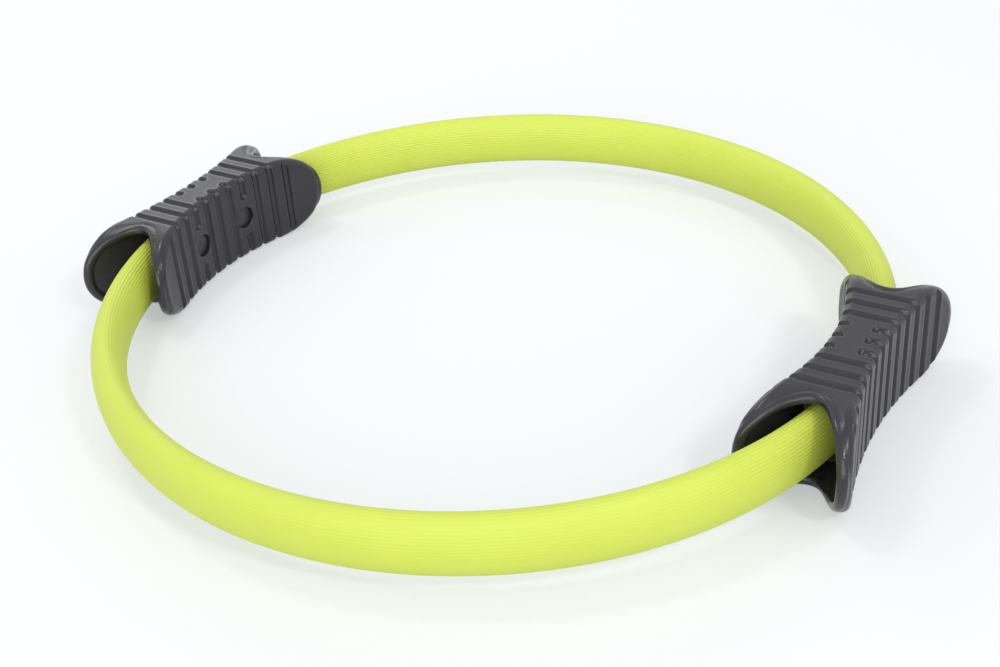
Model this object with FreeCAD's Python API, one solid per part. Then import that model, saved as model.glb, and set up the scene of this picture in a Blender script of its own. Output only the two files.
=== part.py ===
import FreeCAD, Part
import math
import os

# Ring: a flat oval sleeve over a spring strip, both bent to one circle about the Z axis
ring_outer_diameter = 380.0
sleeve_thickness = 15.6
sleeve_height = 28.8
strip_thickness = 3.0
strip_height = 18.0
strip_clearance = 0.3
strip_end_gap = 1.0
strip_setback = 1.5

# Bending points of the hoop: angles from the line through the grips, and the room to swing
grip_hinge_angle = 36.0
side_hinge_angle = 74.0
swing_relief_angle = 23.0
hinge_clearance = 0.35

# Grips: hollow sleeves with a waist in plan and oval lobes seen from the side
grip_height = 46.0
grip_outer_length = 148.0
grip_inner_length = 133.0
outer_waist = 8.4
outer_flare = 12.8
inner_waist = 14.6
inner_flare = 19.0
grip_edge_radius = 4.0
lobe_round_height = 21.5
inner_lobe_round_length = 28.0
outer_lobe_round_length = 21.5
mouth_set_back = 24.0
mouth_corner_radius = 6.0
side_wall = 5.4
top_wall = 5.0
hollow_corner_radius = 8.5
lip_radius = 2.3
block_half_length = 33.0
block_gap = 0.4

# Finger grooves around the grips
groove_spacing = 9.3
groove_radius = 2.2
groove_lift = 0.7
groove_end_growth = 0.2
inner_stub_length = 3.4
outer_stub_length = 5.8
groove_well_gap = 6.4
grooves_each_side = 4
stub_grooves_each_side = 1
grooves_to_well = 2
outer_lobe_grooves = 2
inner_lobe_grooves = 1

# Fasteners: one screw for each strip end, in a well in the inner face of the grip
well_diameter = 12.0
plug_thickness = 2.4
plug_clearance = 0.2
head_diameter = 8.0
head_height = 2.4
head_gap = 0.4
hex_sides = 6
hex_width = 3.4
hex_depth = 1.4
shank_diameter = 4.0
shank_clearance = 0.3
washer_diameter = 8.6
washer_thickness = 0.8
washer_clearance = 0.4
seat_wall = 5.2
bush_diameter = 7.0
bush_length = 4.4
bush_clearance = 0.1
thread_clearance = 0.1

# Modelling helpers: one overrun for every cut, one tolerance for finding edges, and shares
overrun = 2.0
touch_tolerance = 0.05
edge_probe_shares = (0.2, 0.5, 0.8)
end_station_shares = (-0.6, -0.5, -0.4, -0.31, -0.2, -0.08, 0.04, 0.16, 0.28, 0.39, 0.48, 0.6)
mouth_middle_share = 0.04
mouth_width_share = 0.37
corner_limit_share = 0.94

ring_radius = (ring_outer_diameter - sleeve_thickness) / 2.0
mid_height = grip_height / 2.0
grip_reach = max(grip_outer_length, grip_inner_length) / 2.0 + overrun
groove_reach = groove_radius + groove_lift + overrun
seat_radius = ring_radius - strip_thickness / 2.0 - strip_clearance - seat_wall
ledge_radius = seat_radius - washer_thickness - head_height - head_gap
bush_radius = ring_radius + strip_thickness / 2.0 + strip_clearance
screw_angle = math.degrees(math.asin(grooves_to_well * groove_spacing / ring_radius))
sleeve_inner_radius = ring_radius - sleeve_thickness / 2.0
sleeve_start = math.degrees(math.asin((block_half_length + block_gap) / sleeve_inner_radius))
shank_hole_diameter = shank_diameter + 2.0 * shank_clearance
quarter_turn = 90.0
half_turn = 180.0
full_turn = 360.0
origin = FreeCAD.Vector(0, 0, 0)
up = FreeCAD.Vector(0, 0, 1)
across = FreeCAD.Vector(1, 0, 0)
along = FreeCAD.Vector(0, 1, 0)


def point(x, y, z):
    return FreeCAD.Vector(x, y, z)


def direction(angle):
    turn = math.radians(angle)
    return FreeCAD.Vector(math.cos(turn), math.sin(turn), 0)


def polar(radius, angle, z):
    return direction(angle) * radius + up * z


def turned(shape, angle):
    copy = shape.copy()
    copy.rotate(origin, up, angle)
    return copy


def arc_degrees(length):
    return math.degrees(length / ring_radius)


def arc_edge(start, middle, end):
    return Part.Arc(start, middle, end).toShape()


def rounded_wire(center, wide, tall, half_wide, half_tall, radius):
    # rounded rectangle about a center, spanned by two unit vectors
    cut = radius * (1.0 - math.sqrt(0.5))
    corners = []
    for a, b in ((1.0, 1.0), (-1.0, 1.0), (-1.0, -1.0), (1.0, -1.0)):
        side = center + wide * (a * half_wide) + tall * (b * (half_tall - radius))
        bend = center + wide * (a * (half_wide - cut)) + tall * (b * (half_tall - cut))
        cap = center + wide * (a * (half_wide - radius)) + tall * (b * half_tall)
        corners.append((side, bend, cap) if a * b > 0 else (cap, bend, side))
    edges = []
    for index, (start, bend, end) in enumerate(corners):
        edges.append(Part.makeLine(corners[index - 1][2], start))
        edges.append(arc_edge(start, bend, end))
    return Part.Wire(edges)


def oval_halves(angle, slack):
    # the outer and the inner half of the outline of the sleeve section
    half_thick = sleeve_thickness / 2.0 + slack
    half_tall = sleeve_height / 2.0 + slack
    middle = polar(ring_radius, angle, mid_height)
    head = middle + up * half_tall
    side = middle + direction(angle) * half_thick
    standing = half_tall > half_thick
    curve = Part.Ellipse(head, side, middle) if standing else Part.Ellipse(side, head, middle)
    first = 0 if standing else -math.pi / 2.0
    outer = Part.ArcOfEllipse(curve, first, first + math.pi)
    inner = Part.ArcOfEllipse(curve, first + math.pi, first + 2.0 * math.pi)
    return [outer.toBSpline().toShape(), inner.toBSpline().toShape()]


def spun(face, foot, angle):
    body = face.revolve(foot, up, angle)
    return body if body.Volume > 0 else body.reversed()


def oval_length(start, end):
    return spun(Part.Face(Part.Wire(oval_halves(start, 0))), origin, end - start)


def half_oval(angle, slack):
    arc = oval_halves(angle, slack)[0]
    chord = Part.makeLine(arc.lastVertex().Point, arc.firstVertex().Point)
    return Part.Face(Part.Wire([arc, chord]))


def knuckle(angle):
    # rounded end of a length, in two quarter turns about its bending line
    foot = polar(ring_radius, angle, 0)
    first_quarter = spun(half_oval(angle, 0), foot, quarter_turn)
    second_quarter = first_quarter.copy()
    second_quarter.rotate(foot, up, quarter_turn)
    return [first_quarter, second_quarter]


def socket(angle):
    return spun(half_oval(angle, hinge_clearance), polar(ring_radius, angle, 0), full_turn)


def swing_wedge(angle, toward):
    # the room that lets a socket end swing about the bending line
    center = polar(ring_radius, angle, 0)
    out = direction(angle)
    ahead = direction(angle + quarter_turn) * toward
    wide = sleeve_thickness
    deep = wide * math.tan(math.radians(swing_relief_angle))
    corners = [
        center,
        center + out * wide + ahead * deep,
        center + out * wide - ahead * overrun,
        center - out * wide - ahead * overrun,
        center - out * wide + ahead * deep,
        center,
    ]
    return Part.Face(Part.makePolygon(corners)).extrude(up * grip_height)


def strip_length(start, end, slack):
    thick = strip_thickness / 2.0 + slack
    tall = strip_height / 2.0 + slack
    corners = [
        polar(ring_radius - thick, start, mid_height - tall),
        polar(ring_radius + thick, start, mid_height - tall),
        polar(ring_radius + thick, start, mid_height + tall),
        polar(ring_radius - thick, start, mid_height + tall),
        polar(ring_radius - thick, start, mid_height - tall),
    ]
    return spun(Part.Face(Part.makePolygon(corners)), origin, end - start)


def strip_tip(angle, slack):
    # round end of a strip on its bending line
    tall = strip_height + 2.0 * slack
    foot = polar(ring_radius, angle, mid_height - tall / 2.0)
    return Part.makeCylinder(strip_thickness / 2.0 + slack, tall, foot, up)


def rounded_strip(start, end, slack):
    return strip_length(start, end, slack).fuse(strip_tip(end, slack)).removeSplitter()


def strip_hole():
    reach = strip_thickness + overrun
    return radial_cylinder(shank_hole_diameter, ring_radius - reach, ring_radius + reach, screw_angle)


def end_strip():
    return rounded_strip(arc_degrees(strip_end_gap / 2.0), grip_hinge_angle, 0).cut(strip_hole())


def end_sleeve():
    body = oval_length(sleeve_start, grip_hinge_angle).fuse(knuckle(grip_hinge_angle))
    slot = rounded_strip(sleeve_start - arc_degrees(overrun), grip_hinge_angle, strip_clearance)
    return body.cut(slot)


def strip_inset():
    return arc_degrees(sleeve_thickness / 2.0 + hinge_clearance + strip_setback)


def arm_strip():
    return rounded_strip(grip_hinge_angle + strip_inset(), side_hinge_angle, 0)


def arm_sleeve():
    body = oval_length(grip_hinge_angle, side_hinge_angle).fuse(knuckle(side_hinge_angle))
    slot = rounded_strip(grip_hinge_angle, side_hinge_angle, strip_clearance)
    return body.cut([slot, socket(grip_hinge_angle), swing_wedge(grip_hinge_angle, 1.0)])


def side_strip():
    return strip_length(side_hinge_angle + strip_inset(), half_turn - side_hinge_angle - strip_inset(), 0)


def side_sleeve():
    far_angle = half_turn - side_hinge_angle
    body = oval_length(side_hinge_angle, far_angle)
    slot = strip_length(side_hinge_angle, far_angle, strip_clearance)
    sockets = [socket(side_hinge_angle), socket(far_angle)]
    wedges = [swing_wedge(side_hinge_angle, 1.0), swing_wedge(far_angle, -1.0)]
    return body.cut([slot] + sockets + wedges)


def arc_rise(rise, half_span, station):
    radius = (half_span ** 2 + rise ** 2) / (2.0 * rise)
    return radius - math.sqrt(radius ** 2 - station ** 2)


def outer_face(station):
    return ring_radius + outer_waist + arc_rise(outer_flare, grip_outer_length / 2.0, station)


def inner_face(station):
    return ring_radius - inner_waist - arc_rise(inner_flare, grip_inner_length / 2.0, station)


def face_arc(face, start, end, inset, z):
    middle = (start + end) / 2.0
    places = [point(face(station) + inset, station, z) for station in (start, middle, end)]
    return arc_edge(places[0], places[1], places[2])


def plan_face(start, end, inset, z):
    # outline between the two long faces of a grip, seen from above
    outer = face_arc(outer_face, start, end, -inset, z)
    inner = face_arc(inner_face, end, start, inset, z)
    far_end = Part.makeLine(outer.lastVertex().Point, inner.firstVertex().Point)
    near_end = Part.makeLine(inner.lastVertex().Point, outer.firstVertex().Point)
    return Part.Face(Part.Wire([outer, far_end, inner, near_end]))


def between(inner, outer, share):
    # value at a share of the way across the grip, from its inner tip at -0.5 to its outer tip at 0.5
    return (inner + outer) / 2.0 + share * (outer - inner)


def quarter_oval(start, corner, end):
    # exact quarter of an ellipse that touches both legs of a corner
    curve = Part.BSplineCurve()
    curve.buildFromPolesMultsKnots([start, corner, end], [3, 3], [0, 1], False, 2, [1, math.sqrt(0.5), 1])
    return curve.toShape()


def side_wire(share):
    # outline of a grip seen from the side: long with oval ends at the lobes, shorter and squarer between them
    inner_tip = inner_face(grip_inner_length / 2.0)
    outer_tip = outer_face(grip_outer_length / 2.0)
    x = between(inner_tip, outer_tip, share)
    near = max(0.0, 1.0 - abs(share - mouth_middle_share) / mouth_width_share)
    bump = math.sin(near * math.pi / 2.0) ** 2
    half = between(grip_inner_length, grip_outer_length, share) / 2.0 - bump * mouth_set_back
    lobe_long = between(inner_lobe_round_length, outer_lobe_round_length, share)
    lobe_tall = min(lobe_round_height, corner_limit_share * mid_height)
    long = lobe_long + bump * (mouth_corner_radius - lobe_long)
    tall = lobe_tall + bump * (mouth_corner_radius - lobe_tall)
    edges = []
    for y_side, z_side in ((1.0, 1.0), (-1.0, 1.0), (-1.0, -1.0), (1.0, -1.0)):
        corner = point(x, y_side * half, mid_height + z_side * mid_height)
        upright = corner - up * (z_side * tall)
        level = corner - along * (y_side * long)
        ends = (upright, level) if y_side * z_side > 0 else (level, upright)
        if edges:
            edges.append(Part.makeLine(edges[-1].lastVertex().Point, ends[0]))
        edges.append(quarter_oval(ends[0], corner, ends[1]))
    edges.append(Part.makeLine(edges[-1].lastVertex().Point, edges[0].firstVertex().Point))
    return Part.Wire(edges)


def on_long_face(edge):
    middle = edge.valueAt((edge.FirstParameter + edge.LastParameter) / 2.0)
    to_outer = abs(middle.x - outer_face(middle.y))
    to_inner = abs(middle.x - inner_face(middle.y))
    return min(to_outer, to_inner) < touch_tolerance


def grip_envelope():
    plan = plan_face(-grip_reach, grip_reach, 0, 0).extrude(up * grip_height)
    side = Part.makeLoft([side_wire(share) for share in end_station_shares], True, False)
    body = plan.common(side)
    edges = [edge for edge in body.Edges if on_long_face(edge)]
    return body.makeFillet(grip_edge_radius, edges)


def hollow():
    plan = plan_face(block_half_length, grip_reach, side_wall, top_wall)
    body = plan.extrude(up * (grip_height - 2.0 * top_wall))
    edges = [edge for edge in body.Edges if edge.Curve.TypeId == "Part::GeomCircle"]
    half_wide = (outer_face(block_half_length) - inner_face(block_half_length)) / 2.0 - side_wall
    half_tall = mid_height - top_wall
    corner = min(hollow_corner_radius, corner_limit_share * min(half_wide, half_tall))
    return body.makeFillet(corner, edges)


def touches(edge, faces):
    # whether an edge lies on one of the faces all along
    for share in edge_probe_shares:
        place = edge.valueAt(edge.FirstParameter + share * (edge.LastParameter - edge.FirstParameter))
        spot = Part.Vertex(place)
        if min(face.distToShape(spot)[0] for face in faces) > touch_tolerance:
            return False
    return True


def grip_shell():
    outside = grip_envelope()
    far_hollow = hollow()
    near_hollow = far_hollow.mirror(origin, along)
    shell = outside.cut([far_hollow, near_hollow])
    inside = far_hollow.Faces + near_hollow.Faces
    lips = [edge for edge in shell.Edges if touches(edge, inside) and touches(edge, outside.Faces)]
    return shell.makeFillet(lip_radius, lips)


def groove_ring(station):
    # a groove right around the grip
    low = inner_face(station)
    high = outer_face(station)
    middle = point((low + high) / 2.0, station, mid_height)
    half = (high - low) / 2.0 + groove_lift
    path = rounded_wire(middle, across, up, half, mid_height + groove_lift, grip_edge_radius + groove_lift)
    start = path.Edges[0].valueAt(path.Edges[0].FirstParameter)
    heading = path.Edges[0].tangentAt(path.Edges[0].FirstParameter)
    profile = Part.Wire([Part.makeCircle(groove_radius, start, heading)])
    return path.makePipeShell([profile], True, False)


def ball(x, station, z):
    # round end of a groove, a little wider than the groove
    return Part.makeSphere(groove_radius + groove_end_growth, point(x, station, z))


def stub_groove(station):
    # a groove that leaves the middle of the top and the underside plain
    low = inner_face(station) + inner_stub_length
    high = outer_face(station) - outer_stub_length
    plain = Part.makeBox(
        high - low,
        2.0 * groove_reach,
        grip_height + 2.0 * groove_reach,
        point(low, station - groove_reach, -groove_reach),
    )
    ends = [ball(x, station, z) for x in (low, high) for z in (-groove_lift, grip_height + groove_lift)]
    return [groove_ring(station).cut(plain)] + ends


def well_grooves(station):
    # a groove that stops short of the screw well in the inner face
    half = well_diameter / 2.0 + groove_well_gap
    x = inner_face(station) - groove_lift
    plain = Part.makeBox(
        2.0 * groove_reach,
        2.0 * groove_reach,
        2.0 * half,
        point(x - groove_reach, station - groove_reach, mid_height - half),
    )
    ends = [ball(x, station, z) for z in (mid_height - half, mid_height + half)]
    return [groove_ring(station).cut(plain)] + ends


def lobe_groove(face, station):
    away = groove_lift if face is outer_face else -groove_lift
    return Part.makeCylinder(
        groove_radius, grip_height + 2.0 * overrun, point(face(station) + away, station, -overrun), up
    )


def groove_cuts():
    cuts = []
    for count in range(-grooves_each_side, grooves_each_side + 1):
        station = count * groove_spacing
        if abs(count) <= stub_grooves_each_side:
            cuts += stub_groove(station)
        elif abs(count) == grooves_to_well:
            cuts += well_grooves(station)
        else:
            cuts.append(groove_ring(station))
    for side in (-1.0, 1.0):
        for count in range(outer_lobe_grooves):
            cuts.append(lobe_groove(outer_face, side * groove_spacing * (grooves_each_side + 1 + count)))
        for count in range(inner_lobe_grooves):
            cuts.append(lobe_groove(inner_face, side * groove_spacing * (grooves_each_side + 1 + count)))
    return cuts


def radial_cylinder(diameter, start, end, angle):
    return Part.makeCylinder(diameter / 2.0, end - start, polar(start, angle, mid_height), direction(angle))


def screw_cuts(angle):
    mouth = ring_radius - inner_waist - inner_flare
    bush_end = bush_radius + bush_length + bush_clearance
    washer_hole = washer_diameter + 2.0 * washer_clearance
    return [
        radial_cylinder(well_diameter, mouth, ledge_radius, angle),
        radial_cylinder(washer_hole, ledge_radius - overrun, seat_radius, angle),
        radial_cylinder(shank_hole_diameter, seat_radius - overrun, bush_end, angle),
        radial_cylinder(bush_diameter + 2.0 * bush_clearance, ring_radius, bush_end, angle),
    ]


def strip_slot():
    reach = math.degrees(math.asin((block_half_length + overrun) / ring_radius))
    return strip_length(-reach, reach, strip_clearance)


def grip():
    cuts = groove_cuts() + [strip_slot()]
    for side in (-1.0, 1.0):
        cuts += screw_cuts(side * screw_angle)
    return grip_shell().cut(cuts)


def plug(angle):
    diameter = well_diameter - 2.0 * plug_clearance
    return radial_cylinder(diameter, ledge_radius - plug_thickness, ledge_radius, angle)


def hex_socket(angle):
    start = seat_radius - washer_thickness - head_height
    reach = hex_width / 2.0 / math.cos(math.pi / hex_sides)
    corners = []
    for count in range(hex_sides + 1):
        turn = math.radians(count * full_turn / hex_sides)
        swing = direction(angle + quarter_turn) * math.cos(turn) + up * math.sin(turn)
        corners.append(polar(start, angle, mid_height) + swing * reach)
    return Part.Face(Part.makePolygon(corners)).extrude(direction(angle) * hex_depth)


def screw(angle):
    under_head = seat_radius - washer_thickness
    head = radial_cylinder(head_diameter, under_head - head_height, under_head, angle)
    shank = radial_cylinder(shank_diameter, under_head, bush_radius + bush_length, angle)
    return head.fuse(shank).cut(hex_socket(angle))


def washer(angle):
    disc = radial_cylinder(washer_diameter, seat_radius - washer_thickness, seat_radius, angle)
    hole = radial_cylinder(shank_hole_diameter, seat_radius - overrun, ring_radius, angle)
    return disc.cut(hole)


def bush(angle):
    body = radial_cylinder(bush_diameter, bush_radius, bush_radius + bush_length, angle)
    bore_diameter = shank_diameter + 2.0 * thread_clearance
    bore = radial_cylinder(bore_diameter, ring_radius, bush_radius + bush_length + overrun, angle)
    return body.cut(bore)


def pair(piece):
    return Part.makeCompound([piece(-screw_angle), piece(screw_angle)])


os.makedirs("parts", exist_ok=True)
grip_pieces = {
    "grip": grip(),
    "screws": pair(screw),
    "washers": pair(washer),
    "plugs": pair(plug),
    "bushes": pair(bush),
}
for name, shape in grip_pieces.items():
    shape.exportStep("parts/right_" + name + ".step")
    turned(shape, half_turn).exportStep("parts/left_" + name + ".step")
corner_pieces = {
    "end_sleeve": end_sleeve(),
    "end_strip": end_strip(),
    "arm_sleeve": arm_sleeve(),
    "arm_strip": arm_strip(),
}
for name, shape in corner_pieces.items():
    mirrored = shape.mirror(origin, across)
    shape.exportStep("parts/rear_right_" + name + ".step")
    mirrored.exportStep("parts/rear_left_" + name + ".step")
    turned(shape, half_turn).exportStep("parts/front_left_" + name + ".step")
    turned(mirrored, half_turn).exportStep("parts/front_right_" + name + ".step")
side_pieces = {
    "side_sleeve": side_sleeve(),
    "side_strip": side_strip(),
}
for name, shape in side_pieces.items():
    shape.exportStep("parts/rear_" + name + ".step")
    turned(shape, half_turn).exportStep("parts/front_" + name + ".step")
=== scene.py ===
import math

import bmesh
import bpy
import numpy
from mathutils import Matrix, Vector


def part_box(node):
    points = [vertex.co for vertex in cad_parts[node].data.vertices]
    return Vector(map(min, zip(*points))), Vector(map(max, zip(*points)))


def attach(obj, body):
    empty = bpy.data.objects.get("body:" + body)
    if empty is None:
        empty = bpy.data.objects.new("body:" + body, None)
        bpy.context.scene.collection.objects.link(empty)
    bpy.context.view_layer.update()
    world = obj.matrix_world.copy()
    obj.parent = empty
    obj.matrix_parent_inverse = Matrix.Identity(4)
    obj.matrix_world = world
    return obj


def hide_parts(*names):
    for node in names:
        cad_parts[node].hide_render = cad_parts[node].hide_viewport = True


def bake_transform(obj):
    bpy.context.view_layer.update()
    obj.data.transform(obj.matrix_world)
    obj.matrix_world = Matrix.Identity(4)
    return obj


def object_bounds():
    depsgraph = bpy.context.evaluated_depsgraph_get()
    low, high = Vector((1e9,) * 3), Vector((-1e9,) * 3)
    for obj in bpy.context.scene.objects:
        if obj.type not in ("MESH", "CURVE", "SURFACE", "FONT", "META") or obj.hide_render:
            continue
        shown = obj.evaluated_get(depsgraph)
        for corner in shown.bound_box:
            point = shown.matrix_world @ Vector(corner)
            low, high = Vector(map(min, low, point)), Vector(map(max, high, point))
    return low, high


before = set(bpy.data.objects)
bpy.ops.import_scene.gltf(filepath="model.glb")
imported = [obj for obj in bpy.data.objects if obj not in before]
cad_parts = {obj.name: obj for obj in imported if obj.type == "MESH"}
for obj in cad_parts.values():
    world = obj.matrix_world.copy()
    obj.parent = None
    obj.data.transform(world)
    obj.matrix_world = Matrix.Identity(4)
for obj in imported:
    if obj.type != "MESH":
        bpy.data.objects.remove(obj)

cad_low, cad_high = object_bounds()

# The ring and the sleeve's oval section, from the frame, where no box gives half the thickness
side_low, side_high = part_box("front_side_sleeve")
end_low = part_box("rear_right_end_sleeve")[0]
half_thick = 0.0078
half_tall = (side_high.z - side_low.z) / 2.0
mid_height = (side_high.z + side_low.z) / 2.0
ring_radius = -side_low.y - half_thick

# Places along a quarter of the ring, in degrees from the middle of its grip
sleeve_start = math.degrees(math.asin(end_low.y / (ring_radius - half_thick)))
grip_hinge = 36.0
side_hinge = 74.0
arm_middle = (grip_hinge + side_hinge) / 2.0
side_middle = 90.0

# Degrees between the rows of the sleeve's mesh
row_step = 1.4

# Ribs of the sleeve, deepest near the grips and on the inside of the ring, with painted shade in their
# valleys that deepens with them
rib_count = 48
rib_depth = 0.0004
rib_sink_shares = (1.0, 0.42, 0.08, 0.0, 0.08, 0.42)
# ribs and their painted shade at full strength near the grips, shallower and fainter further along
rib_full_until = 18.0
rib_shallow_from = 34.0
shallow_share = 0.38
outer_share = 0.45
section_samples = 2400

# The round bead along each mouth of a grip, which stands proud of the rim, and more so at the lobes
lip_radius = 0.0024
lip_proud = 0.0007
lobe_proud = 0.0018
lip_points = 44
lip_smoothing = 2
lip_squareness = 6.0
lip_round_steps = 6
lip_order = 4

# The even mesh of a grip, and how far its edges are rounded off
voxel_size = 0.00045
soften_factor = 0.5
soften_passes = 4

# The relief of a grip: how much it is strengthened, and in how many passes it is measured and evened
relief_gain = 0.6
relief_spread = 60
relief_evening = 3

# Bends of a grip's surface, as a point's distance from its neighbours' middle, and how polished they are
bend_low = 0.000003
bend_high = 0.000016
bend_spread = 6
bend_polish = 0.27

# The mould line round a grip, in millimetres from its middle height
millimetres = 1000.0
line_full_until = 0.1
line_gone_from = 0.4

# How far the floor reaches on each side
floor_reach = 6.0


def new_piece(name, data):
    piece = bpy.data.objects.new(name, data)
    bpy.context.scene.collection.objects.link(piece)
    return piece


# Nodes that the materials share

def node_material(name):
    material = bpy.data.materials.new(name)
    material.use_nodes = True
    return material, material.node_tree, material.node_tree.nodes["Principled BSDF"]


def add(tree, kind, **inputs):
    node = tree.nodes.new(kind)
    for key, value in inputs.items():
        node.inputs[key].default_value = value
    return node


def object_place(tree):
    return add(tree, "ShaderNodeTexCoord").outputs["Object"]


def attribute(tree, name):
    node = add(tree, "ShaderNodeAttribute")
    node.attribute_name = name
    return node.outputs["Fac"]


def math_node(tree, operation, first, second=None):
    node = add(tree, "ShaderNodeMath")
    node.operation = operation
    for socket, value in zip(node.inputs, (first, second)):
        if isinstance(value, float):
            socket.default_value = value
        elif value is not None:
            tree.links.new(value, socket)
    return node.outputs["Value"]


def grey(value):
    return (value, value, value, 1.0)


def ramp(tree, source, low, high, start=0.3, end=0.7):
    node = add(tree, "ShaderNodeValToRGB")
    for element, position, colour in zip(node.color_ramp.elements, (start, end), (low, high)):
        element.position = position
        element.color = colour
    tree.links.new(source, node.inputs["Fac"])
    return node.outputs["Color"]


def noise(tree, vector, scale, detail):
    node = add(tree, "ShaderNodeTexNoise", Scale=scale, Detail=detail)
    tree.links.new(vector, node.inputs["Vector"])
    return node.outputs["Fac"]


def bump(tree, height, strength, distance, normal=None):
    node = add(tree, "ShaderNodeBump", Strength=strength, Distance=distance)
    tree.links.new(height, node.inputs["Height"])
    if normal is not None:
        tree.links.new(normal, node.inputs["Normal"])
    return node.outputs["Normal"]


def show_both(tree, first, second, output):
    both = add(tree, "ShaderNodeAddShader")
    tree.links.new(first.outputs[0], both.inputs[0])
    tree.links.new(second.outputs[0], both.inputs[1])
    tree.links.new(both.outputs[0], tree.nodes[output].inputs["Surface"])


def seen_strength(tree, strength):
    # strength where the camera, a reflection or a see-through ray looks, nothing for the light it casts
    path = add(tree, "ShaderNodeLightPath").outputs
    seen = math_node(tree, "MAXIMUM", path["Is Camera Ray"], path["Is Glossy Ray"])
    seen = math_node(tree, "MAXIMUM", seen, path["Is Transmission Ray"])
    return math_node(tree, "MULTIPLY", seen, strength)


# Materials

def grip_material():
    # charcoal rubber: satin faces with a fine grain, glossier on beads and in grooves, a faint mould line
    material, tree, bsdf = node_material("grip_rubber")
    place = object_place(tree)
    cloud = noise(tree, place, scale=55.0, detail=4.0)
    grain = noise(tree, place, scale=2600.0, detail=2.0)
    shade = ramp(tree, cloud, low=(0.0205, 0.0191, 0.0250, 1.0), high=(0.0270, 0.0254, 0.0325, 1.0))
    tree.links.new(shade, bsdf.inputs["Base Color"])
    satin = ramp(tree, cloud, low=grey(0.38), high=grey(0.46), start=0.25, end=0.75)
    polish = math_node(tree, "MULTIPLY", attribute(tree, "bend"), bend_polish)
    tree.links.new(math_node(tree, "SUBTRACT", satin, polish), bsdf.inputs["Roughness"])
    spot = add(tree, "ShaderNodeSeparateXYZ")
    tree.links.new(place, spot.inputs["Vector"])
    off = math_node(tree, "ABSOLUTE", math_node(tree, "SUBTRACT", spot.outputs["Z"], mid_height))
    off = math_node(tree, "MULTIPLY", off, millimetres)
    line = ramp(tree, off, low=grey(1.0), high=grey(0.0), start=line_full_until, end=line_gone_from)
    seam = bump(tree, line, strength=0.35, distance=0.0002)
    tree.links.new(bump(tree, grain, strength=0.16, distance=0.0002, normal=seam), bsdf.inputs["Normal"])
    return material


def sleeve_material():
    # lime rubber: painted shade between the ribs, a little uneven along the length
    material, tree, bsdf = node_material("sleeve_rubber")
    place = object_place(tree)
    cloud = noise(tree, place, scale=38.0, detail=3.0)
    grain = noise(tree, place, scale=1900.0, detail=2.0)
    # painted shade: the colour of the rib valleys, darker and greener where shade falls between the ribs
    painted_valley_shade = (0.618, 0.727, 0.080, 1.0)
    crest = ramp(tree, cloud, low=(0.660, 0.772, 0.103, 1.0), high=(0.680, 0.795, 0.112, 1.0))
    mix = add(tree, "ShaderNodeMix")
    mix.data_type = "RGBA"
    mix.inputs["A"].default_value = painted_valley_shade
    tree.links.new(attribute(tree, "rib"), mix.inputs["Factor"])
    tree.links.new(crest, mix.inputs["B"])
    tree.links.new(mix.outputs["Result"], bsdf.inputs["Base Color"])
    tree.links.new(ramp(tree, grain, low=grey(0.46), high=grey(0.58)), bsdf.inputs["Roughness"])
    tree.links.new(bump(tree, grain, strength=0.12, distance=0.0002), bsdf.inputs["Normal"])
    bsdf.inputs["Specular IOR Level"].default_value = 0.45
    return material


def vary(tree, bsdf, pattern, dark, light, smooth, rough):
    # a colour and a roughness that change together, as the pattern does
    tree.links.new(ramp(tree, pattern, dark, light), bsdf.inputs["Base Color"])
    tree.links.new(ramp(tree, pattern, grey(smooth), grey(rough)), bsdf.inputs["Roughness"])


def plastic_material(name, dark, light, smooth, rough):
    # moulded plastic: cloudy, with a fine grain
    material, tree, bsdf = node_material(name)
    place = object_place(tree)
    vary(tree, bsdf, noise(tree, place, scale=160.0, detail=4.0), dark, light, smooth, rough)
    grain = noise(tree, place, scale=2200.0, detail=2.0)
    tree.links.new(bump(tree, grain, strength=0.12, distance=0.0001), bsdf.inputs["Normal"])
    return material


def metal_material(name, dark, light, smooth, rough):
    # brushed metal: fine level streaks
    material, tree, bsdf = node_material(name)
    stretch = add(tree, "ShaderNodeMapping", Scale=(1.0, 1.0, 12.0))
    tree.links.new(object_place(tree), stretch.inputs["Vector"])
    streak = noise(tree, stretch.outputs["Vector"], scale=420.0, detail=3.0)
    vary(tree, bsdf, streak, dark, light, smooth, rough)
    tree.links.new(bump(tree, streak, strength=0.1, distance=0.0001), bsdf.inputs["Normal"])
    bsdf.inputs["Metallic"].default_value = 1.0
    return material


# Grips

def off_ring(point):
    return math.hypot(point.x, point.y) - ring_radius


def mouth_rim(cad, side_y):
    # the furthest points of a grip's mouth, one for each direction from its middle, smoothed
    rim = [None] * lip_points
    for vertex in cad.data.vertices:
        place = vertex.co
        if place.y * side_y <= 0.0:
            continue
        turn = math.atan2(place.z - mid_height, off_ring(place)) / math.tau
        sector = int((turn + 1.0) * lip_points) % lip_points
        if rim[sector] is None or place.y * side_y > rim[sector].y * side_y:
            rim[sector] = place.copy()
    for _ in range(lip_smoothing):
        rim = [(rim[index - 1] + rim[index] * 2.0 + rim[(index + 1) % lip_points]) / 4.0
               for index in range(lip_points)]
    return rim


def lip_centres(rim, side_y):
    # the bead's middle line: the rim moved back into the grip by what doesn't stand proud
    offsets = [off_ring(point) for point in rim]
    reach_in, reach_out = -min(offsets), max(offsets)
    reach_up = max(point.z for point in rim) - mid_height
    centres = []
    for index, point in enumerate(rim):
        along = (rim[(index + 1) % lip_points] - rim[index - 1]).normalized()
        side = offsets[index] / (reach_out if offsets[index] > 0.0 else reach_in)
        rise = (point.z - mid_height) / reach_up
        outward = Vector((math.copysign(abs(side) ** lip_squareness, side), 0.0,
                          math.copysign(abs(rise) ** lip_squareness, rise)))
        outward.x *= math.copysign(1.0, point.x)
        outward.normalize()
        inward = along.cross(outward).normalized()
        if inward.y * side_y > 0.0:
            inward.negate()
        proud = lip_proud + lobe_proud * max(0.0, 1.0 - rise * rise) * side * side
        centres.append(point + inward * (lip_radius - proud))
    return centres


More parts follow.
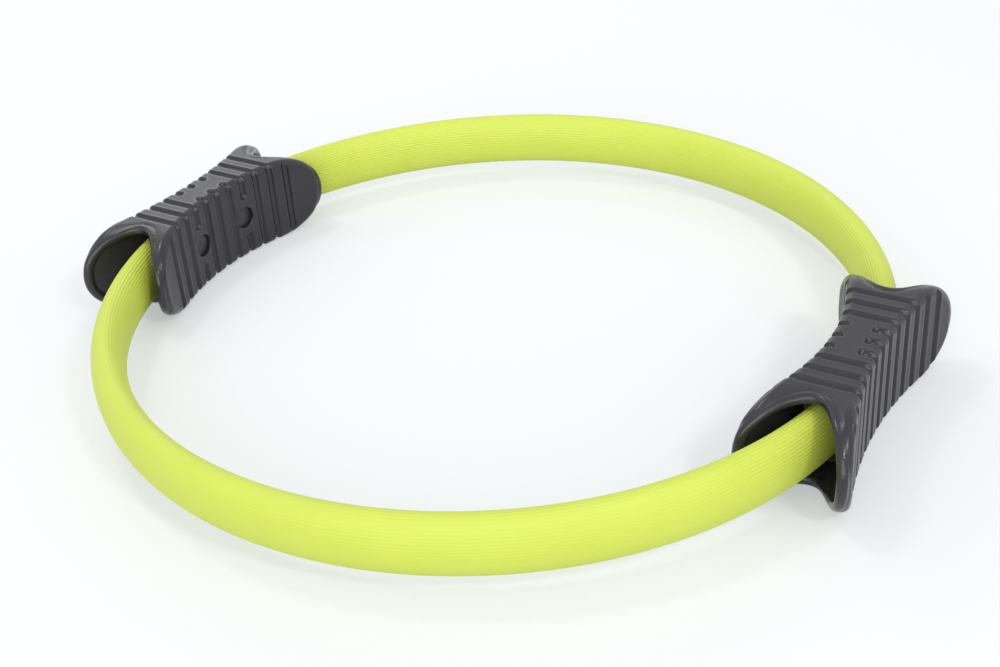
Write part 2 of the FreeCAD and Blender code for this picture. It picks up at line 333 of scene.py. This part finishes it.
def lip_curve(centres):
    curve = bpy.data.curves.new("lip", "CURVE")
    curve.dimensions = "3D"
    curve.bevel_depth = lip_radius
    curve.bevel_resolution = lip_round_steps
    spline = curve.splines.new("NURBS")
    spline.points.add(lip_points - 1)
    for control, centre in zip(spline.points, centres):
        control.co = (*centre, 1.0)
    spline.use_cyclic_u = True
    spline.order_u = lip_order
    return curve


def rough_grip(node):
    # the CAD shape of a grip and the beads of its two mouths, as shells that overlap
    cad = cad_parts[node]
    shape = bmesh.new()
    shape.from_mesh(cad.data)
    for side_y in (-1.0, 1.0):
        curve = lip_curve(lip_centres(mouth_rim(cad, side_y), side_y))
        lip = bpy.data.objects.new(node + "_lip", curve)
        lip_mesh = bpy.data.meshes.new_from_object(lip)
        shape.from_mesh(lip_mesh)
        bpy.data.objects.remove(lip)
        bpy.data.meshes.remove(lip_mesh)
        bpy.data.curves.remove(curve)
    mesh = bpy.data.meshes.new(node + "_rough")
    shape.to_mesh(mesh)
    shape.free()
    return mesh


def one_skin(rough):
    # the shells as one even mesh, with every edge a little rounded off
    piece = new_piece(rough.name, rough)
    remesh = piece.modifiers.new("even", "REMESH")
    remesh.mode = "VOXEL"
    remesh.voxel_size = voxel_size
    remesh.use_smooth_shade = True
    soften = piece.modifiers.new("soften", "SMOOTH")
    soften.factor = soften_factor
    soften.iterations = soften_passes
    depsgraph = bpy.context.evaluated_depsgraph_get()
    mesh = bpy.data.meshes.new_from_object(piece.evaluated_get(depsgraph))
    bpy.data.objects.remove(piece)
    bpy.data.meshes.remove(rough)
    return mesh


def neighbour_mean(mesh):
    # a function that takes one number per point and gives each point the mean of its neighbours
    count = len(mesh.vertices)
    ends = numpy.empty(len(mesh.edges) * 2, dtype=numpy.int32)
    mesh.edges.foreach_get("vertices", ends)
    first, second = ends[0::2], ends[1::2]
    neighbours = numpy.bincount(ends, minlength=count)

    def mean(values):
        total = numpy.bincount(first, values[second], count) + numpy.bincount(second, values[first], count)
        return total / neighbours

    return mean


def blur(values, mean, passes):
    for _ in range(passes):
        values = (values + mean(values)) / 2.0
    return values


def read_points(mesh, name):
    # a vector of every point, as one row for each axis
    values = numpy.empty(len(mesh.vertices) * 3, dtype=numpy.float32)
    mesh.vertices.foreach_get(name, values)
    return values.reshape(-1, 3).T.astype(numpy.float64)


def strengthen_relief(mesh, mean):
    # crisper grooves and beads: what stands out from the blurred shape stands out more
    places = read_points(mesh, "co")
    blurred = numpy.stack([blur(axis, mean, relief_spread) for axis in places])
    places += (places - blurred) * relief_gain
    places = numpy.stack([blur(axis, mean, relief_evening) for axis in places])
    mesh.vertices.foreach_set("co", places.T.astype(numpy.float32).ravel())
    mesh.update()
    return places


def mark_bends(mesh, places, mean):
    # the attribute "bend": 0 on flat faces, up to 1 on beads, edges and in grooves
    pull = numpy.stack([mean(axis) - axis for axis in places])
    bend = numpy.abs(numpy.sum(pull * read_points(mesh, "normal"), axis=0))
    bend = blur(bend, mean, bend_spread)
    bend = numpy.clip((bend - bend_low) / (bend_high - bend_low), 0.0, 1.0)
    values = mesh.attributes.new("bend", "FLOAT", "POINT")
    values.data.foreach_set("value", bend.astype(numpy.float32))


def moulding(node, body, material):
    # a grip as it leaves the mould: the CAD shape with beaded mouths, softened edges and crisp grooves
    mesh = one_skin(rough_grip(node))
    mesh.materials.clear()
    mesh.materials.append(material)
    mean = neighbour_mean(mesh)
    places = strengthen_relief(mesh, mean)
    mark_bends(mesh, places, mean)
    piece = new_piece(node + "_moulding", mesh)
    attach(piece, body)
    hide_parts(node)


def dress(name, material):
    # a CAD piece whose shape is right, with its material
    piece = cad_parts[name]
    piece.data.materials.clear()
    piece.data.materials.append(material)


# Sleeves

def even_turns(count):
    # angles about the oval section that divide its outline into equal lengths
    step = math.tau / section_samples
    lengths = [0.0]
    for sample in range(section_samples):
        turn = (sample + 0.5) * step
        speed = math.hypot(half_thick * math.sin(turn), half_tall * math.cos(turn))
        lengths.append(lengths[-1] + speed * step)
    turns = []
    sample = 0
    for index in range(count):
        goal = lengths[-1] * index / count
        while lengths[sample + 1] < goal:
            sample += 1
        part = (goal - lengths[sample]) / (lengths[sample + 1] - lengths[sample])
        turns.append((sample + part) * step)
    return turns


def rib_sink(place, turn, index):
    # how far a point lies below the crests, as a share of the full depth, which also sets the painted
    # shade between the ribs
    fade = min(1.0, max(0.0, (place - rib_full_until) / (rib_shallow_from - rib_full_until)))
    outer = max(0.0, math.cos(turn))
    share = (1.0 + (shallow_share - 1.0) * fade) * (1.0 + (outer_share - 1.0) * outer)
    return rib_sink_shares[index % len(rib_sink_shares)] * share


def tube_faces(rows, points):
    # quads between the rows of a tube, and a face across each end
    faces = []
    for low in range(0, (rows - 1) * points, points):
        high = low + points
        for index in range(points):
            following = (index + 1) % points
            faces.append((low + index, low + following, high + following, high + index))
    faces.append(tuple(reversed(range(points))))
    faces.append(tuple(range((rows - 1) * points, rows * points)))
    return faces


def ribbed_length(name, start, end, flip_x, flip_y, material):
    # a length of the ribbed sleeve, swept along the ring, with the attribute "rib": 1 on the crests, lower
    # in the valleys, where it sets painted shade
    turns = even_turns(rib_count * len(rib_sink_shares))
    rows = math.ceil((end - start) / row_step) + 1
    vertices = []
    crests = []
    for row in range(rows):
        place = start + (end - start) * row / (rows - 1)
        angle = math.radians(place)
        for index, turn in enumerate(turns):
            sink = rib_sink(place, turn, index)
            reach = ring_radius + (half_thick - rib_depth * sink) * math.cos(turn)
            height = mid_height + (half_tall - rib_depth * sink) * math.sin(turn)
            vertices.append((flip_x * reach * math.cos(angle), flip_y * reach * math.sin(angle), height))
            crests.append(1.0 - sink)
    faces = tube_faces(rows, len(turns))
    if flip_x * flip_y > 0.0:
        faces = [tuple(reversed(face)) for face in faces]
    mesh = bpy.data.meshes.new(name)
    mesh.from_pydata(vertices, [], faces)
    mesh.update()
    for polygon in mesh.polygons:
        polygon.use_smooth = len(polygon.vertices) < len(turns)
    last_row = len(turns) * (rows - 1)
    for edge in mesh.edges:
        edge.use_edge_sharp = max(edge.vertices) < len(turns) or min(edge.vertices) >= last_row
    values = mesh.attributes.new("rib", "FLOAT", "POINT")
    values.data.foreach_set("value", crests)
    mesh.materials.append(material)
    piece = new_piece(name, mesh)
    return piece


def sleeve_quarter(corner, side, flip_x, flip_y, material):
    # the sleeve from a grip to the middle of a side, in two pieces that each reach over one hinge
    near = ribbed_length(corner + "_sleeve_near", sleeve_start, arm_middle, flip_x, flip_y, material)
    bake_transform(near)
    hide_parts(corner + "_end_sleeve", corner + "_arm_sleeve")
    far = ribbed_length(corner + "_sleeve_far", arm_middle, side_middle, flip_x, flip_y, material)
    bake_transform(far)
    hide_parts(side + "_side_sleeve")


# Studio

def floor():
    # white paper, with a glow that makes up for the weaker light further out
    material, tree, bsdf = node_material("floor_paper")
    tree.nodes.remove(bsdf)
    paper = add(tree, "ShaderNodeBsdfDiffuse", Color=(0.615, 0.618, 0.632, 1.0))
    glow = add(tree, "ShaderNodeEmission", Color=(0.95, 0.965, 1.0, 1.0))
    distance = add(tree, "ShaderNodeVectorMath")
    distance.operation = "LENGTH"
    tree.links.new(object_place(tree), distance.inputs[0])
    share = math_node(tree, "DIVIDE", distance.outputs["Value"], floor_reach)
    strength = ramp(tree, share, low=grey(0.385), high=grey(0.47), start=0.1, end=0.5)
    tree.links.new(seen_strength(tree, strength), glow.inputs["Strength"])
    show_both(tree, paper, glow, "Material Output")
    corners = [(floor_reach * x, floor_reach * y, cad_low.z)
               for x, y in ((-1.0, -1.0), (1.0, -1.0), (1.0, 1.0), (-1.0, 1.0))]
    mesh = bpy.data.meshes.new("floor")
    mesh.from_pydata(corners, [], [(0, 1, 2, 3)])
    mesh.materials.append(material)
    piece = new_piece("floor", mesh)


def hang(lamp, source):
    # a lamp where its light comes from, turned to the origin
    piece = new_piece(lamp.name, lamp)
    piece.location = source
    piece.rotation_euler = (-Vector(source)).to_track_quat("-Z", "Y").to_euler()


def softbox(name, source, size, power, colour):
    lamp = bpy.data.lights.new(name, "AREA")
    lamp.shape = "DISK"
    lamp.size = size
    lamp.energy = power
    lamp.color = colour
    hang(lamp, source)


def wide_light(name, source, spread, strength):
    # light from a wide window far off, the same all over the object
    lamp = bpy.data.lights.new(name, "SUN")
    lamp.angle = math.radians(spread)
    lamp.energy = strength
    hang(lamp, source)


def sky():
    # an even fill, and white where it is seen
    world = bpy.data.worlds.new("studio")
    world.use_nodes = True
    tree = world.node_tree
    fill = tree.nodes["Background"]
    fill.inputs["Color"].default_value = (0.97, 0.985, 1.0, 1.0)
    fill.inputs["Strength"].default_value = 0.67
    white = add(tree, "ShaderNodeBackground", Color=grey(1.0))
    tree.links.new(seen_strength(tree, strength=0.33), white.inputs["Strength"])
    show_both(tree, fill, white, "World Output")
    bpy.context.scene.world = world


def camera():
    # the photo's viewing angle, a little tilted, as fitted to the outline of the ring
    azimuth = math.radians(32.827)
    elevation = math.radians(30.502)
    roll = math.radians(-4.5015)
    distance = 0.7052
    level = math.cos(elevation)
    back = Vector((math.sin(azimuth) * level, -math.cos(azimuth) * level, math.sin(elevation)))
    right = Vector((math.cos(azimuth), math.sin(azimuth), 0.0))
    upward = back.cross(right)
    tilted_right = right * math.cos(roll) + upward * math.sin(roll)
    tilted_up = upward * math.cos(roll) - right * math.sin(roll)
    lens = bpy.data.cameras.new("camera")
    lens.sensor_width = 36.0
    lens.lens = 52.614
    lens.shift_x = 0.0082
    lens.shift_y = -0.0375
    lens.clip_start = 0.01
    piece = new_piece("camera", lens)
    turn = Matrix((tilted_right, tilted_up, back)).transposed().to_4x4()
    piece.matrix_world = Matrix.Translation(Vector((0.0, 0.0, mid_height)) + back * distance) @ turn
    bpy.context.scene.camera = piece


lime = sleeve_material()
sleeve_quarter("front_left", "front", -1.0, -1.0, lime)
sleeve_quarter("front_right", "front", 1.0, -1.0, lime)
sleeve_quarter("rear_left", "rear", -1.0, 1.0, lime)
sleeve_quarter("rear_right", "rear", 1.0, 1.0, lime)

charcoal = grip_material()
black = plastic_material("plug_plastic", dark=(0.020, 0.020, 0.022, 1.0), light=(0.031, 0.031, 0.034, 1.0),
                         smooth=0.36, rough=0.46)
fibre = plastic_material("strip_plastic", dark=(0.36, 0.34, 0.27, 1.0), light=(0.47, 0.45, 0.37, 1.0),
                         smooth=0.42, rough=0.55)
steel = metal_material("brushed_steel", dark=(0.47, 0.48, 0.50, 1.0), light=(0.60, 0.61, 0.63, 1.0),
                       smooth=0.27, rough=0.40)
brass = metal_material("brass", dark=(0.62, 0.45, 0.20, 1.0), light=(0.74, 0.56, 0.27, 1.0),
                       smooth=0.25, rough=0.38)
for end in ("left", "right"):
    moulding(end + "_grip", end + "_end", charcoal)
    dress(end + "_plugs", black)
    dress(end + "_screws", steel)
    dress(end + "_washers", steel)
    dress(end + "_bushes", brass)
for corner in ("front_left", "front_right", "rear_left", "rear_right"):
    dress(corner + "_end_strip", fibre)
    dress(corner + "_arm_strip", fibre)
for side in ("front", "rear"):
    dress(side + "_side_strip", fibre)

floor()
softbox("key", source=(1.2, -0.5, 1.25), size=0.26, power=5.0, colour=(1.0, 0.99, 0.975))
softbox("overhead", source=(-0.62, 0.05, 1.35), size=0.28, power=2.2, colour=(0.97, 0.985, 1.0))
wide_light("front", source=(0.34, -0.92, 0.10), spread=70.0, strength=1.9)
softbox("back", source=(-1.15, 0.95, 0.75), size=0.9, power=2.6, colour=(0.95, 0.97, 1.0))
sky()
camera()
bpy.context.scene.view_settings.view_transform = "Standard"
